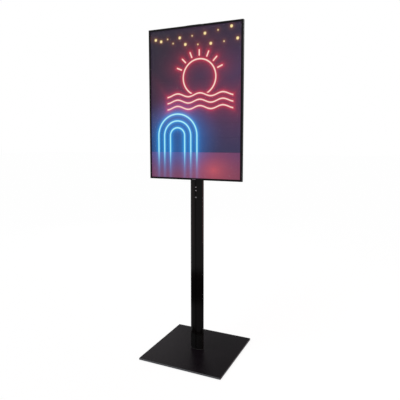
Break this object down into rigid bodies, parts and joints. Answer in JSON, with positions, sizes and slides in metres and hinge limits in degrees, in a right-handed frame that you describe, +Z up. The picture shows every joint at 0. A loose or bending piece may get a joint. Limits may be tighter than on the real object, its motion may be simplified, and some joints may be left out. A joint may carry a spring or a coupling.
{
  "type": "illuminated poster stand",
  "caption": "Free-standing back-lit poster frame on an oval post with a square base; the poster slides out upwards and the head slides up on a clamped neck.",
  "frame": {"origin": "on the floor, under the middle of the square base", "axes": "+Z up along the post, the poster faces -Y, +X to the viewer's right"},
  "size_m": [0.626, 0.55, 2.055],
  "materials": {
    "base_coat": "satin",
    "steel_black": "satin",
    "post_black": "gloss",
    "frame_black": "satin",
    "panel_black": "matte",
    "aluminium_bare": "satin",
    "screw_steel": "polished",
    "rubber_black": "matte",
    "plastic_black": "satin",
    "window_clear": "gloss",
    "diffuser_opal": "satin",
    "guide_clear": "gloss",
    "reflector_white": "matte",
    "board_white": "satin",
    "board_green": "satin",
    "led_phosphor": "satin",
    "lead_red": "satin",
    "poster_print": "satin",
    "button_grey": "satin"
  },
  "bodies": {
    "stand": {"base_plate": "base_coat", "base_pads": "rubber_black", "foot_gasket": "rubber_black", "foot_plug": "aluminium_bare", "foot_bolts": "screw_steel", "plug_screws": "screw_steel", "post": "post_black", "post_collar": "plastic_black", "clamp_screws": "screw_steel"},
    "light_box": {"neck_tube": "steel_black", "neck_cap": "plastic_black", "lower_bracket": "steel_black", "upper_bracket": "steel_black", "bracket_bolts": "screw_steel", "bracket_nuts": "screw_steel", "bracket_screws": "screw_steel", "backing_plates": "aluminium_bare", "rail_left": "frame_black", "rail_right": "frame_black", "rail_top": "frame_black", "rail_bottom": "frame_black", "corner_keys": "aluminium_bare", "back_panel": "panel_black", "panel_screws": "screw_steel", "window": "window_clear", "diffuser": "diffuser_opal", "light_guide": "guide_clear", "guide_blocks": "rubber_black", "reflector": "reflector_white", "led_boards": "board_white", "led_chips": "led_phosphor", "led_leads": "lead_red", "control_board": "board_green", "push_switch": "plastic_black", "power_inlet": "plastic_black", "inlet_nut": "screw_steel"},
    "poster": {"poster_sheet": "poster_print", "poster_strip": "plastic_black"},
    "power_button": {"button_cap": "button_grey", "switch_plunger": "board_white"}
  },
  "joints": [
    {"name": "head_height", "type": "slide", "parent": "stand", "child": "light_box", "axis": [0, 0, 1], "range_m": [0, 0.12]},
    {"name": "poster_slide", "type": "slide", "parent": "light_box", "child": "poster", "axis": [0, 0, 1], "range_m": [0, 0.925]},
    {"name": "button_press", "type": "slide", "parent": "light_box", "child": "power_button", "axis": [0, 1, 0], "range_m": [0, 0.0008], "stiffness_N_per_m": 2500}
  ]
}
